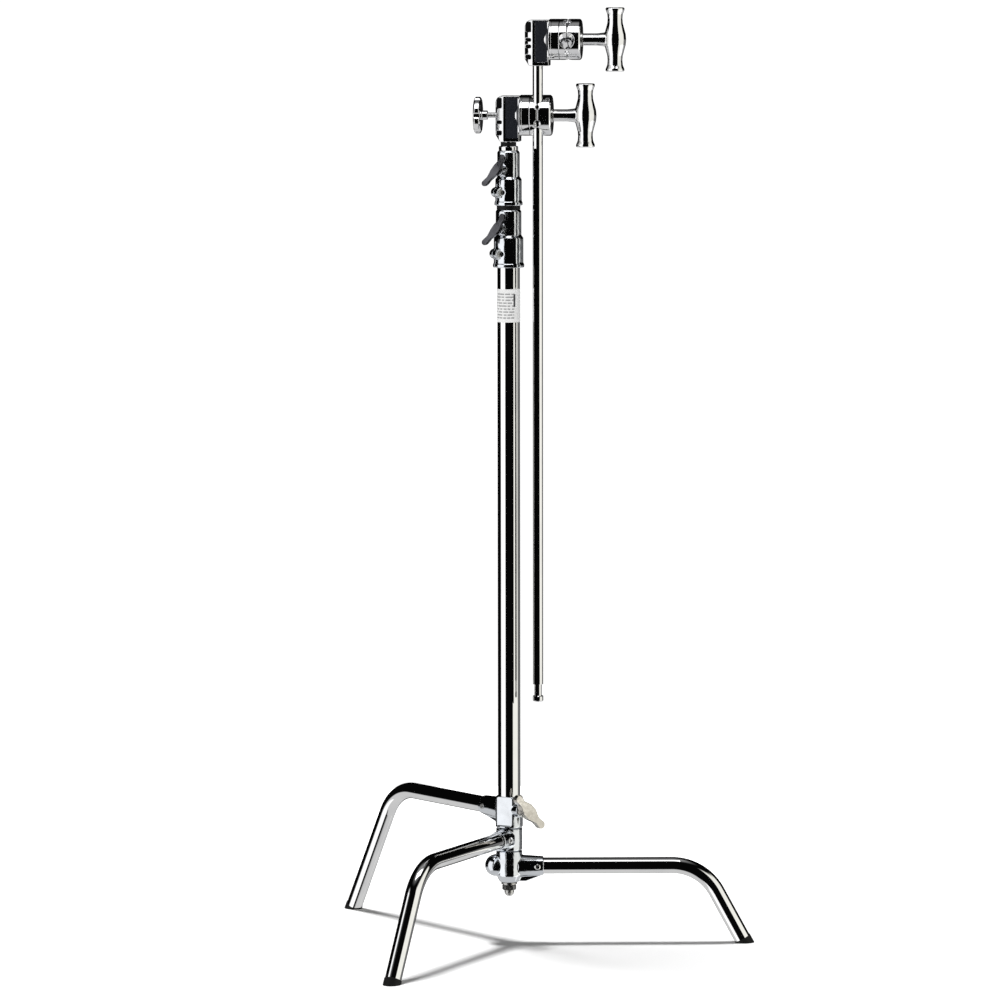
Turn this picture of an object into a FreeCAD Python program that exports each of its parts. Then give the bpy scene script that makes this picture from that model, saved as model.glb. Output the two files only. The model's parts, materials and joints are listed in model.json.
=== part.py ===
import FreeCAD, Part
import math
import os

os.makedirs("parts", exist_ok=True)
V = FreeCAD.Vector
UP = V(0, 0, 1)
DOWN = V(0, 0, -1)

# C stand with two grip heads and an arm, in millimetres. +Z is up, the origin is on the floor
# under the column, X runs to the right along the lowest leg and Y runs to the back.

# Clearances
RUN = 0.06  # radial clearance of a shaft that turns or slides in a bore
SEAM = 0.3  # gap between the flat faces of two pieces that turn past each other
SHOE_GAP = 0.35  # released brake shoe to the tube it grips
THREAD_RUN = 0.05  # radial clearance drawn between a screw and its tapped hole

# Column, risers and the pin they stand on
COLUMN_R = 17.5
TUBE_WALL = 1.5
TUBE_STEP = 1.0  # radial room between one tube's bore and the next tube inside it
RISER1_R = COLUMN_R - TUBE_WALL - TUBE_STEP
RISER2_R = RISER1_R - TUBE_WALL - TUBE_STEP
PIN_R = COLUMN_R - TUBE_WALL - 1.8
PIN_LENGTH = 40.0
PIN_PLUG = 45.0
BUSH = 25.0
RISER_START = 308.0
STOP_RING_R = RISER1_R + 3.3
STOP_RING = 6.0

# Turtle base
SPINDLE_R = 9.0
SPINDLE_END_R = 6.0
HUB_R = PIN_R + 7.3
LOWER_HUB_R = SPINDLE_R + 11.5
LOW_Z = 98.0
LOW_H = 50.0
MID_H = 36.0
TOP_H = 50.0
MID_Z = LOW_Z + LOW_H
TOP_Z = MID_Z + MID_H
HUB_TOP_Z = TOP_Z + TOP_H
FLAT_AZ = 245.0
FLAT_AT = PIN_R + 2.8
LEG_R = 12.7
SOCKET_END_R = LEG_R + 2.1
SOCKET_ROOT_R = LEG_R + 4.8
SOCKET_ROOT_AT = 14.0
LEG_WALL = 1.6
LEG_SLANT = 61.5
LEG_BEND_R = 80.0
RIVET_R = 3.0
RIVET_HEAD_R = 4.6
RIVET_HEAD = 1.3
BOOT_R = LEG_R + 1.0
BOOT_FLOOR = 2.5
BOOT_SLEEVE = 8.0
TOP_LEG = {"z": TOP_Z + 28.4, "az": 129.0, "start": PIN_R + 5.8, "socket": 61.0, "rivet": 50.0}
TOP_LEG["corner"] = 288.0
MID_LEG = {"z": MID_Z + 19.0, "az": 242.7, "start": SPINDLE_R + 4.0, "socket": 42.0, "rivet": 26.0}
MID_LEG["corner"] = 295.5
LOW_LEG = {"z": LOW_Z + 25.0, "az": 0.9, "start": SPINDLE_R + 4.0, "socket": 53.5, "rivet": 44.0}
LOW_LEG["corner"] = 302.5

# Collars
COLLAR1_Z = 1061.0
COLLAR1 = {"height": 90.0, "step": 48.0, "screw": 60.5, "tube": 43.0, "bolt": 21.5}
COLLAR2_Z = COLLAR1_Z + COLLAR1["height"] + STOP_RING
COLLAR2 = {"height": 85.0, "step": 42.5, "screw": 55.5, "tube": 36.0, "bolt": 20.5}
COLLAR_LOW_WALL = 5.4
COLLAR_UP_WALL = 4.9
COLLAR_BEAD = 1.4
COLLAR_BEAD_H = 6.0
EAR_AZ = 207.0
EAR_OUT = 3.1
EAR_R = 7.6
EAR_HALF = COLUMN_R - 6.5
EAR_SLOT = 2.0
PINCH_R = 2.5
PINCH_HEAD_R = 4.3
PINCH_HEAD = 3.7
PINCH_SUNK = 0.6
PINCH_KEY_R = 2.6
LOCK_AZ = 233.0
LOCK_TILT = -40.0
LOCK_BOSS_R = 8.5
LOCK_BOSS_END = RISER1_R + 11.0
LOCK_SHOE_R = 5.5
LOCK_SHOE = 4.0
LOCK_SCREW_R = 4.0
LABEL_H = 51.5
LABEL_T = 0.3
LABEL_DOWN = 33.0  # bare column between the label and the lower collar
LABEL_Z = COLLAR1_Z - LABEL_DOWN - LABEL_H

# Base lock
BASE_LOCK_AZ = -50.0
BASE_LOCK_Z = HUB_TOP_Z - 20.0
BASE_BOSS_R = 11.0
BASE_BOSS_END = HUB_R + 9.5
BASE_SHOE_R = 6.5
BASE_SHOE = 4.5
BASE_SCREW_R = 5.0

# Standard 5/8 inch stud and arm
STUD_R = 7.9375
STUD_FLANGE_R = RISER2_R + 2.5
STUD_FLANGE = 6.3
STUD_COLLAR_R = 12.0
STUD_COLLAR = 6.5
STUD_LENGTH = 64.0

# Grip head, drawn with its centre bolt along X and the stud bore along Z
HEAD_TURN = -6.0
BODY_LEFT = 20.0
BODY_RIGHT = 18.5
BODY_HALF = 17.0
BODY_TOP = 30.0
BODY_BOTTOM = 40.5
HEAD_GAP = 0.7
NECK_Z = COLLAR2_Z + COLLAR2["height"] + SEAM + STUD_FLANGE + STUD_COLLAR
HEAD_Z = NECK_Z + HEAD_GAP + BODY_BOTTOM
FLANGE_FACE = BODY_RIGHT + 4.8
DISC_R = 31.6
FRICTION_FACE = FLANGE_FACE + 10.7
PARTING = FRICTION_FACE + 13.2
JAW_GAP = 1.0
JAW_END = PARTING + 20.8
BOLT_R = 4.76
BOLT_START = STUD_R + 3.0625
BOLT_END = JAW_END + 31.0
DOWEL_R = 2.0
DOWEL_AT = (23.6, -24.2)
SPRING_R = BOLT_R + 2.24
SPRING_BORE = 0.35
SPRING_T = 0.9
SPRING_CUP = 1.5
SPRING_STEP = 0.05
SPRING_POCKET_R = SPRING_R + 0.5
SPRING_POCKET = 5.0
WASHER_R = 11.0
WASHER = 1.6
HANDLE_AT = JAW_END + 51.4
HANDLE_SHAFT_R = 9.3
HANDLE_ROOT_R = 12.0
HANDLE_HALF = 49.0
HANDLE_END_R = 14.6
HANDLE_WAIST_R = 11.4
HANDLE_BELLY_R = 17.2
ARM_ACROSS = -17.0
HALF_INCH_ACROSS = 16.0
QUARTER_INCH_UP = 13.0
THREE_EIGHTHS_UP = -12.0
PLATE_T = 1.2
PLATE_GAP = 0.15
POCKETS = ((11.5, 27.0), (-13.0, -8.0), (-30.0, -23.5))
ARM_POCKET = (-3.0, 2.0)
POCKET_END = -9.0
POCKET_Y = -5.0
FLARE = ((17.0, 11.5), (18.2, 14.0), (21.5, 16.8), (26.0, 18.3), (31.6, 18.9))
PLATE_LEFT = -2.5
PLATE_RIGHT = 16.0
PLATE_BOTTOM = -35.0
PLATE_TOP = 28.0
KNOB_R = 28.3
KNOB_T = 11.0
KNOB_SCREW_R = 4.0

# Arm
ARM_LENGTH = 1016.0
ARM_PROUD = 15.6  # end of the arm above the upper head's bolt
HANDLES_APART = 19.1
UPPER_HEAD_Z = HEAD_Z + 2 * HANDLE_HALF + HANDLES_APART
ARM_BOTTOM_Z = UPPER_HEAD_Z + ARM_PROUD - ARM_LENGTH
ARM_BORE_R = 5.5
ARM_NECK_R = 5.75
ARM_NECK = 18.0
ARM_BUTTON_R = 8.2
ARM_BUTTON = 9.0
UPPER_JAW_TURN = 64.0
FIX_PIN_R = 2.5
FIX_PIN_UP = -30.0


def heading(azimuth):
    return V(math.cos(math.radians(azimuth)), math.sin(math.radians(azimuth)), 0)


def rod(radius, start, direction, length):
    return Part.makeCylinder(radius, length, start, direction)


def ring(outer, inner, z, height):
    return rod(outer, V(0, 0, z), UP, height).cut(rod(inner, V(0, 0, z - 1), UP, height + 2))


def polygon(points):
    return Part.Face(Part.makePolygon(points + [points[0]]))


def turned(profile, axis=UP):
    points = [V(r, 0, z) for r, z in profile]
    solid = polygon(points).revolve(V(0, 0, 0), UP, 360)
    return placed(solid, V(0, 0, 0), FreeCAD.Rotation(UP, axis))


def placed(shape, position, rotation):
    moved = shape.copy()
    moved.Placement = FreeCAD.Placement(position, rotation).multiply(shape.Placement)
    return moved


def spun(shape, azimuth):
    return placed(shape, V(0, 0, 0), FreeCAD.Rotation(UP, azimuth))


def save(name, shape):
    shape.exportStep("parts/" + name + ".step")


# ---------------------------------------------------------------- legs


def leg_path(leg, end_z):
    slant = math.radians(LEG_SLANT)
    tangent = LEG_BEND_R * math.tan(slant / 2)
    start = V(leg["start"], 0, leg["z"])
    bend_in = V(leg["corner"] - tangent, 0, leg["z"])
    bend_out = V(leg["corner"] + tangent * math.cos(slant), 0, leg["z"] - tangent * math.sin(slant))
    middle = V(
        bend_in.x + LEG_BEND_R * math.sin(slant / 2),
        0,
        leg["z"] - LEG_BEND_R * (1 - math.cos(slant / 2)),
    )
    foot = V(leg["corner"] + (leg["z"] - end_z) / math.tan(slant), 0, end_z)
    edges = [
        Part.makeLine(start, bend_in),
        Part.Arc(bend_in, middle, bend_out).toShape(),
        Part.makeLine(bend_out, foot),
    ]
    return Part.Wire(edges)


def leg_sweep(leg, radius):
    circle = Part.Circle(V(leg["start"], 0, leg["z"]), V(1, 0, 0), radius)
    profile = Part.Wire([circle.toShape()])
    return leg_path(leg, -2 * LEG_R).makePipeShell([profile], True, False)


def above(z, size=1000.0):
    return Part.makeBox(2 * size, 2 * size, size, V(-size, -size, z))


def leg_tube(leg):
    tube = leg_sweep(leg, LEG_R).cut(leg_sweep(leg, LEG_R - LEG_WALL)).common(above(BOOT_FLOOR))
    return tube.cut(rivet(leg, 0))


def leg_boot(leg):
    slant = math.radians(LEG_SLANT)
    along = V(math.cos(slant), 0, -math.sin(slant))
    foot = V(leg["corner"] + leg["z"] / math.tan(slant), 0, 0)
    sleeve = rod(BOOT_R, foot - along * BOOT_SLEEVE, along, BOOT_SLEEVE + 2 * LEG_R)
    leg_end = rod(LEG_R, foot - along * 2 * BOOT_SLEEVE, along, 4 * BOOT_SLEEVE)
    return sleeve.common(above(0)).cut(leg_end.common(above(BOOT_FLOOR)))


def rivet(leg, head):
    half = SOCKET_END_R + 0.2
    start = V(leg["rivet"], -half, leg["z"])
    shank = rod(RIVET_R, start, V(0, 1, 0), 2 * half)
    if not head:
        return shank
    near = Part.makeCone(RIVET_HEAD_R, RIVET_R, head, start, V(0, -1, 0))
    far = Part.makeCone(RIVET_HEAD_R, RIVET_R, head, start + V(0, 2 * half, 0), V(0, 1, 0))
    return shank.fuse([near, far])


def socket(leg):
    length = leg["socket"] - SOCKET_ROOT_AT
    return Part.makeCone(
        SOCKET_ROOT_R, SOCKET_END_R, length, V(SOCKET_ROOT_AT, 0, leg["z"]), V(1, 0, 0)
    )


def socket_bore(leg):
    return rod(LEG_R, V(leg["start"], 0, leg["z"]), V(1, 0, 0), leg["socket"])


def rivet_seat(leg):
    half = SOCKET_END_R + 0.2
    wide = RIVET_HEAD_R + 0.4
    deep = SOCKET_ROOT_R
    near = rod(wide, V(leg["rivet"], -half, leg["z"]), V(0, -1, 0), deep)
    far = rod(wide, V(leg["rivet"], half, leg["z"]), V(0, 1, 0), deep)
    return rivet(leg, 0).fuse([near, far])


def gusset(leg, bottom, root):
    points = [
        V(root, -4.5, bottom),
        V(leg["socket"] - 1, -4.5, leg["z"] - SOCKET_END_R + 0.5),
        V(leg["socket"] - 1, -4.5, leg["z"]),
        V(SOCKET_ROOT_AT, -4.5, leg["z"]),
        V(SOCKET_ROOT_AT, -4.5, bottom),
    ]
    return polygon(points).extrude(V(0, 9, 0))


def export_leg(name, leg):
    save(name + "_leg", spun(leg_tube(leg), leg["az"]))
    save(name + "_leg_boot", spun(leg_boot(leg), leg["az"]))
    save(name + "_leg_rivet", spun(rivet(leg, RIVET_HEAD), leg["az"]))


# ---------------------------------------------------------------- base castings


def top_casting():
    low = TOP_Z + SEAM / 2
    barrel = turned(
        [
            (0, low),
            (HUB_R - 1.5, low),
            (HUB_R, low + 1.5),
            (HUB_R, HUB_TOP_Z - 2),
            (HUB_R - 2, HUB_TOP_Z),
            (0, HUB_TOP_Z),
        ]
    )
    web = gusset(TOP_LEG, low + 3, HUB_R)
    arm = spun(socket(TOP_LEG).fuse(web), TOP_LEG["az"])
    barrel = barrel.cut(spun(Part.makeBox(20, 60, 100, V(FLAT_AT, -30, low + 4)), FLAT_AZ))
    boss = rod(BASE_BOSS_R, V(0, 0, BASE_LOCK_Z), heading(BASE_LOCK_AZ), BASE_BOSS_END)
    body = barrel.fuse([arm, boss])
    body = body.cut(spun(socket_bore(TOP_LEG).fuse(rivet_seat(TOP_LEG)), TOP_LEG["az"]))
    body = body.cut(rod(PIN_R + RUN, V(0, 0, HUB_TOP_Z - PIN_LENGTH - 1), UP, PIN_LENGTH + 2))
    body = body.cut(rod(SPINDLE_R, V(0, 0, low - 1), UP, 8))
    shoe_room = BASE_SHOE + SHOE_GAP + 3.5
    body = body.cut(
        rod(BASE_SHOE_R + RUN, V(0, 0, BASE_LOCK_Z), heading(BASE_LOCK_AZ), PIN_R + shoe_room)
    )
    return body.cut(
        rod(BASE_SCREW_R + THREAD_RUN, V(0, 0, BASE_LOCK_Z), heading(BASE_LOCK_AZ), 2 * BASE_BOSS_END)
    )


def folding_casting(leg, low, high, foot_r, web_root):
    bottom = low + SEAM / 2
    top = high - SEAM / 2
    barrel = turned(
        [
            (0, bottom),
            (foot_r, bottom),
            (LOWER_HUB_R, bottom + 2 * (LOWER_HUB_R - foot_r)),
            (LOWER_HUB_R, top - 1.5),
            (LOWER_HUB_R - 1.5, top),
            (0, top),
        ]
    )
    cone = socket(leg).common(Part.makeBox(200, 200, top - bottom, V(0, -100, bottom)))
    arm = spun(cone.fuse(gusset(leg, bottom + 1, web_root)), leg["az"])
    return barrel.fuse(arm)


def bored_casting(body, leg):
    body = body.cut(spun(socket_bore(leg).fuse(rivet_seat(leg)), leg["az"]))
    return body.cut(rod(SPINDLE_R + RUN, V(0, 0, 0), UP, HUB_TOP_Z))


def middle_casting():
    body = folding_casting(MID_LEG, MID_Z, TOP_Z, LOWER_HUB_R - 0.8, LOWER_HUB_R)
    return bored_casting(body, MID_LEG)


def bottom_casting():
    body = folding_casting(LOW_LEG, LOW_Z, MID_Z, 15.0, LOWER_HUB_R + 6)
    lug = Part.makeSphere(17.0, V(-LOWER_HUB_R - 0.5, 0, LOW_LEG["z"] + 1.0))
    return bored_casting(body.fuse(lug), LOW_LEG)


def spindle():
    shank = rod(SPINDLE_R, V(0, 0, LOW_Z - 1.0), UP, TOP_Z + SEAM / 2 + 7 - LOW_Z + 1.0)
    end = rod(SPINDLE_END_R, V(0, 0, LOW_Z - 17.0), UP, 16.0)
    return shank.fuse(end)


def hex_nut(across, bore, z, height):
    corners = [heading(60 * i) * (across / math.sqrt(3)) + V(0, 0, z) for i in range(6)]
    prism = polygon(corners).extrude(V(0, 0, height))
    chamfer = turned(
        [(0, z), (across / 2, z), (across / 2 + 2, z + 1.2), (across / 2 + 2, z + height), (0, z + height)]
    )
    return prism.common(chamfer).cut(rod(bore, V(0, 0, z - 1), UP, height + 2))


def acorn_nut():
    top = LOW_Z - 13.0
    tapered = turned(
        [(0, top - 10), (3.5, top - 9.5), (6.2, top - 7.5), (7.6, top - 4), (7.6, top), (0, top)]
    )
    return tapered.cut(rod(SPINDLE_END_R, V(0, 0, LOW_Z - 17.0), UP, 16.0))


def export_base():
    save("base_top_casting", top_casting())
    save("base_middle_casting", middle_casting())
    save("base_bottom_casting", bottom_casting())
    save("base_spindle", spindle())
    flat = ring(12.5, SPINDLE_END_R, LOW_Z - 3.5, 2.5)
    cup = turned(
        [(SPINDLE_END_R, LOW_Z - 5.5), (10.5, LOW_Z - 4.4), (10.5, LOW_Z - 3.5), (SPINDLE_END_R, LOW_Z - 4.6)]
    )
    save("base_washers", Part.makeCompound([flat, cup]))
    nut = hex_nut(19.0, SPINDLE_END_R, LOW_Z - 13.0, 7.5)
    save("base_nuts", Part.makeCompound([nut, acorn_nut()]))
    for name, leg in (("top", TOP_LEG), ("middle", MID_LEG), ("bottom", LOW_LEG)):
        export_leg(name, leg)


# ---------------------------------------------------------------- T locks


def wing_bar(at, half, bow, middle_t, tip_t, middle_w, tip_w):
    inner = Part.Arc(V(at + bow, -30, half), V(at, -30, 0), V(at + bow, -30, -half))
    outer = Part.Arc(
        V(at + bow + tip_t, -30, -half), V(at + middle_t, -30, 0), V(at + bow + tip_t, -30, half)
    )
    top = Part.makeLine(V(at + bow + tip_t, -30, half), V(at + bow, -30, half))
    bottom = Part.makeLine(V(at + bow, -30, -half), V(at + bow + tip_t, -30, -half))
    side = Part.Face(Part.Wire([inner.toShape(), bottom, outer.toShape(), top]))
    side = side.extrude(V(0, 60, 0))
    shoulder = half - tip_w
    waist = 0.8 * tip_w
    outline = [(tip_w, shoulder), (waist, 0.55 * half), (middle_w, 0.16 * half)]
    outline += [(y, -z) for y, z in reversed(outline)]
    right = Part.makePolygon([V(0, y, z) for y, z in outline])
    left = Part.makePolygon([V(0, -y, -z) for y, z in outline])
    low_end = Part.Arc(V(0, tip_w, -shoulder), V(0, 0, -half), V(0, -tip_w, -shoulder))
    high_end = Part.Arc(V(0, -tip_w, shoulder), V(0, 0, half), V(0, tip_w, shoulder))
    front = Part.Face(Part.Wire(right.Edges + [low_end.toShape()] + left.Edges + [high_end.toShape()]))
    return side.common(front.extrude(V(200, 0, 0)))


def collar_handle(tube_r):
    tip = tube_r + SHOE_GAP + LOCK_SHOE
    screw = rod(LOCK_SCREW_R, V(tip, 0, 0), V(1, 0, 0), LOCK_BOSS_END + 2 - tip)
    hub = Part.makeCone(6.5, 5.5, 5.0, V(LOCK_BOSS_END + 0.5, 0, 0), V(1, 0, 0))
    bar = wing_bar(LOCK_BOSS_END + 2.5, 31.0, 9.0, 7.0, 4.0, 6.5, 5.0)
    return screw.fuse([hub, bar])


def base_handle():
    tip = PIN_R + SHOE_GAP + BASE_SHOE
    screw = rod(BASE_SCREW_R, V(tip, 0, 0), V(1, 0, 0), BASE_BOSS_END + 3 - tip)
    hub = Part.makeCone(9.5, 9.0, 12.0, V(BASE_BOSS_END + 0.5, 0, 0), V(1, 0, 0))
    bar = wing_bar(BASE_BOSS_END + 8.0, 38.0, 6.0, 12.0, 8.0, 10.5, 6.5)
    return screw.fuse([hub, bar])


def locked(shape, azimuth, z, tilt):
    turn = FreeCAD.Rotation(UP, azimuth).multiply(FreeCAD.Rotation(V(1, 0, 0), tilt))
    return placed(shape, V(0, 0, z), turn)


def shoe(tube_r, radius, thickness):
    return rod(radius, V(tube_r + SHOE_GAP, 0, 0), V(1, 0, 0), thickness)


def export_locks():
    save("base_lock_shoe", locked(shoe(PIN_R, BASE_SHOE_R, BASE_SHOE), BASE_LOCK_AZ, BASE_LOCK_Z, 0))
    save("base_lock_handle", locked(base_handle(), BASE_LOCK_AZ, BASE_LOCK_Z, 45))
    for name, z, tube_r, collar in (
        ("lower", COLLAR1_Z, RISER1_R, COLLAR1),
        ("upper", COLLAR2_Z, RISER2_R, COLLAR2),
    ):
        up = z + collar["screw"]
        save(name + "_lock_shoe", locked(shoe(tube_r, LOCK_SHOE_R, LOCK_SHOE), LOCK_AZ, up, 0))
        save(name + "_lock_handle", locked(collar_handle(tube_r), LOCK_AZ, up, LOCK_TILT))


# ---------------------------------------------------------------- collars


def pinch_bolt(z, seat_r):
    across = heading(EAR_AZ + 90)
    start = heading(EAR_AZ) * (seat_r + EAR_OUT) + V(0, 0, z) - across * EAR_HALF
    length = 2 * EAR_HALF - PINCH_SUNK
    shank = rod(PINCH_R, start, across, length - 1)
    head = rod(PINCH_HEAD_R, start + across * (length - PINCH_HEAD), across, PINCH_HEAD)
    key = rod(PINCH_KEY_R, start + across * (length - 2.6), across, 4)
    return shank.fuse(head).cut(key)


def collar(base_z, tube_r, riser_r, sizes):
    low_r = tube_r + COLLAR_LOW_WALL
    up_r = riser_r + COLLAR_UP_WALL
    step = base_z + sizes["step"]
    top = base_z + sizes["height"]
    body = turned(
        [
            (0, base_z),
            (low_r + COLLAR_BEAD - 1, base_z),
            (low_r + COLLAR_BEAD, base_z + 1),
            (low_r + COLLAR_BEAD, base_z + COLLAR_BEAD_H - 1),
            (low_r, base_z + COLLAR_BEAD_H + 1),
            (low_r, step - 2),
            (up_r, step + 2),
            (up_r, top - 3),
            (up_r - 2.2, top),
            (0, top),
        ]
    )
    seat = tube_r + EAR_OUT
    across = heading(EAR_AZ + 90)
    bolt_z = base_z + sizes["bolt"]
    ear_start = heading(EAR_AZ) * seat + V(0, 0, bolt_z) - across * EAR_HALF
    ears = rod(EAR_R, ear_start, across, 2 * EAR_HALF)
    lock_z = V(0, 0, base_z + sizes["screw"])
    boss = rod(LOCK_BOSS_R, lock_z, heading(LOCK_AZ), LOCK_BOSS_END)
    body = body.fuse([ears, boss])
    slot_height = sizes["tube"] - 3
    slot = Part.makeBox(2 * tube_r, EAR_SLOT, slot_height + 1, V(0, -EAR_SLOT / 2, base_z - 1))
    body = body.cut(spun(slot, EAR_AZ))
    body = body.cut(rod(tube_r, V(0, 0, base_z - 1), UP, sizes["tube"] + 1))
    body = body.cut(rod(riser_r + RUN, V(0, 0, base_z), UP, sizes["height"] + 1))
    body = body.cut(pinch_bolt(bolt_z, tube_r).fuse(pinch_room(bolt_z, tube_r)))
    room = riser_r + SHOE_GAP + LOCK_SHOE + 1.6
    body = body.cut(rod(LOCK_SHOE_R + RUN, lock_z, heading(LOCK_AZ), room))
    return body.cut(rod(LOCK_SCREW_R + THREAD_RUN, lock_z, heading(LOCK_AZ), 2 * LOCK_BOSS_END))


def pinch_room(z, tube_r):
    across = heading(EAR_AZ + 90)
    start = heading(EAR_AZ) * (tube_r + EAR_OUT) + V(0, 0, z)
    return rod(PINCH_HEAD_R, start + across * (EAR_HALF - PINCH_SUNK - PINCH_HEAD), across, 20)


def export_collars():
    save("lower_collar", collar(COLLAR1_Z, COLUMN_R, RISER1_R, COLLAR1))
    save("upper_collar", collar(COLLAR2_Z, RISER1_R, RISER2_R, COLLAR2))
    save("lower_pinch_bolt", pinch_bolt(COLLAR1_Z + COLLAR1["bolt"], COLUMN_R))
    save("upper_pinch_bolt", pinch_bolt(COLLAR2_Z + COLLAR2["bolt"], RISER1_R))


# ---------------------------------------------------------------- column and risers


def column_pin():
    low = HUB_TOP_Z - PIN_LENGTH
    inner = COLUMN_R - TUBE_WALL
    return turned(
        [
            (0, low),
            (PIN_R - 2, low),
            (PIN_R, low + 2),
            (PIN_R, HUB_TOP_Z + 0.3),
            (inner, HUB_TOP_Z + 0.3),
            (inner, HUB_TOP_Z + PIN_PLUG),
            (0, HUB_TOP_Z + PIN_PLUG),
        ]
    )


def top_stud():
    low = COLLAR2_Z + COLLAR2["height"]
    plug = RISER2_R - TUBE_WALL
    seat = low + SEAM + STUD_FLANGE
    neck = seat + STUD_COLLAR
    return turned(
        [
            (0, low - 40),
            (plug, low - 40),
            (plug, low + SEAM),
            (STUD_FLANGE_R, low + SEAM),
            (STUD_FLANGE_R, seat - 1),
            (STUD_FLANGE_R - 1, seat),
            (STUD_R, seat),
            (STUD_R, neck + STUD_LENGTH - 1.5),
            (STUD_R - 1.5, neck + STUD_LENGTH),
            (0, neck + STUD_LENGTH),
        ]
    )


def export_column():
    save("column_pin", column_pin())
    column_top = COLLAR1_Z + COLLAR1["tube"]
    column_low = HUB_TOP_Z + 0.3
    save("column_tube", ring(COLUMN_R, COLUMN_R - TUBE_WALL, column_low, column_top - column_low))
    save("column_label", ring(COLUMN_R + LABEL_T, COLUMN_R, LABEL_Z, LABEL_H))
    riser1_top = COLLAR2_Z + COLLAR2["tube"]
    save("lower_riser_tube", ring(RISER1_R, RISER1_R - TUBE_WALL, RISER_START, riser1_top - RISER_START))
    save("lower_riser_bush", ring(COLUMN_R - TUBE_WALL - RUN, RISER1_R - 5, RISER_START - BUSH, BUSH))
    save("lower_stop_ring", ring(STOP_RING_R, RISER1_R, COLLAR2_Z - STOP_RING, STOP_RING))
    riser2_top = COLLAR2_Z + COLLAR2["height"] + SEAM
    low = RISER_START + 40
    save("upper_riser_tube", ring(RISER2_R, RISER2_R - TUBE_WALL, low, riser2_top - low))
    save("upper_riser_bush", ring(RISER1_R - TUBE_WALL - RUN, RISER2_R - 5, low - BUSH, BUSH))
    save("top_stud", top_stud())
    neck_z = riser2_top + STUD_FLANGE
    save("stud_washer", ring(STUD_COLLAR_R, STUD_R, neck_z, STUD_COLLAR - SEAM))


# ---------------------------------------------------------------- grip head


def receiver(with_knob):
    side = [
        V(BODY_RIGHT, -BODY_HALF, BODY_TOP),
        V(-BODY_LEFT + 9, -BODY_HALF, BODY_TOP),
        V(-BODY_LEFT + 3, -BODY_HALF, BODY_TOP - 3),
        V(-BODY_LEFT, -BODY_HALF, BODY_TOP - 9),
        V(-BODY_LEFT, -BODY_HALF, -BODY_BOTTOM + 11),
        V(-BODY_LEFT + 8, -BODY_HALF, -BODY_BOTTOM),
        V(BODY_RIGHT, -BODY_HALF, -BODY_BOTTOM),
    ]
    block = polygon(side).extrude(V(0, 2 * BODY_HALF, 0))
    nose = rod(BODY_HALF, V(BODY_HALF - BODY_LEFT, 0, -50), UP, 100)
    square = Part.makeBox(60, 2 * BODY_HALF, 100, V(BODY_HALF - BODY_LEFT, -BODY_HALF, -50))
    block = block.common(nose.fuse(square))
    body = block.fuse(flange(0))
    for low, high in POCKETS if with_knob else POCKETS + (ARM_POCKET,):
        corner = V(-BODY_LEFT - 1, -BODY_HALF - 1, low)
        wide = POCKET_END + BODY_LEFT + 1
        body = body.cut(Part.makeBox(wide, POCKET_Y + BODY_HALF + 1, high - low, corner))
    body = body.cut(rod(STUD_R + RUN, V(0, 0, -60), UP, 120))
    body = body.cut(rod(BOLT_R, V(BOLT_START, 0, 0), V(1, 0, 0), 60))
    body = body.cut(plate_room())
    if with_knob:
        body = body.cut(rod(KNOB_SCREW_R + THREAD_RUN, V(0, 0, 0), V(-1, 0, 0), 60))
    else:
        body = body.cut(rod(FIX_PIN_R, V(0, -40, FIX_PIN_UP), V(0, 1, 0), 80))
    return body


def flange(gap):
    rim = [(r + gap, x - gap) for r, x in FLARE if r < DISC_R]
    edge = (DISC_R + gap, BODY_RIGHT + 0.4 - gap)
    outline = [(0, rim[0][1])] + rim + [edge, (DISC_R + gap, FLANGE_FACE), (0, FLANGE_FACE)]
    return turned(outline, V(1, 0, 0))


def plate_room():
    width = PLATE_RIGHT - PLATE_LEFT
    corner = V(PLATE_LEFT, PLATE_T - BODY_HALF - 10, PLATE_BOTTOM)
    return Part.makeBox(width, 10, PLATE_TOP - PLATE_BOTTOM, corner).cut(flange(0))


def plate():
    width = PLATE_RIGHT - PLATE_LEFT
    corner = V(PLATE_LEFT, -BODY_HALF, PLATE_BOTTOM)
    blank = Part.makeBox(width, PLATE_T, PLATE_TOP - PLATE_BOTTOM, corner)
    return blank.cut(flange(PLATE_GAP))


def along_x(radius, start, end):
    return rod(radius, V(start, 0, 0), V(1, 0, 0), end - start)


def rod_grooves():
    upright = ((STUD_R + RUN, ARM_ACROSS), (6.35 + RUN, HALF_INCH_ACROSS))
    level = ((3.175 + RUN, QUARTER_INCH_UP), (4.76 + RUN, THREE_EIGHTHS_UP))
    reach = DISC_R + 5
    grooves = [rod(r, V(PARTING, y, -reach), UP, 2 * reach) for r, y in upright]
    grooves += [rod(r, V(PARTING, -reach, z), V(0, 1, 0), 2 * reach) for r, z in level]
    mouth = math.sqrt(DISC_R**2 - ARM_ACROSS**2)
    for sign in (1, -1):
        start = V(PARTING, ARM_ACROSS, sign * (mouth - 7))
        grooves.append(Part.makeCone(STUD_R + RUN, STUD_R + RUN + 7, 14, start, V(0, 0, sign)))
    return grooves


def jaw(start, end, rim_start, rim_end):
    blank = turned(
        [
            (0, start),
            (DISC_R - rim_start, start),
            (DISC_R, start + rim_start),
            (DISC_R, end - rim_end),
            (DISC_R - rim_end, end),
            (0, end),
        ],
        V(1, 0, 0),
    )
    return blank.cut(along_x(BOLT_R + RUN, start - 1, end + 1)).cut(rod_grooves())


def dowels(radius, start, end):
    pins = [rod(radius, V(start, 0, z), V(1, 0, 0), end - start) for z in DOWEL_AT]
    return Part.makeCompound(pins)


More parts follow.
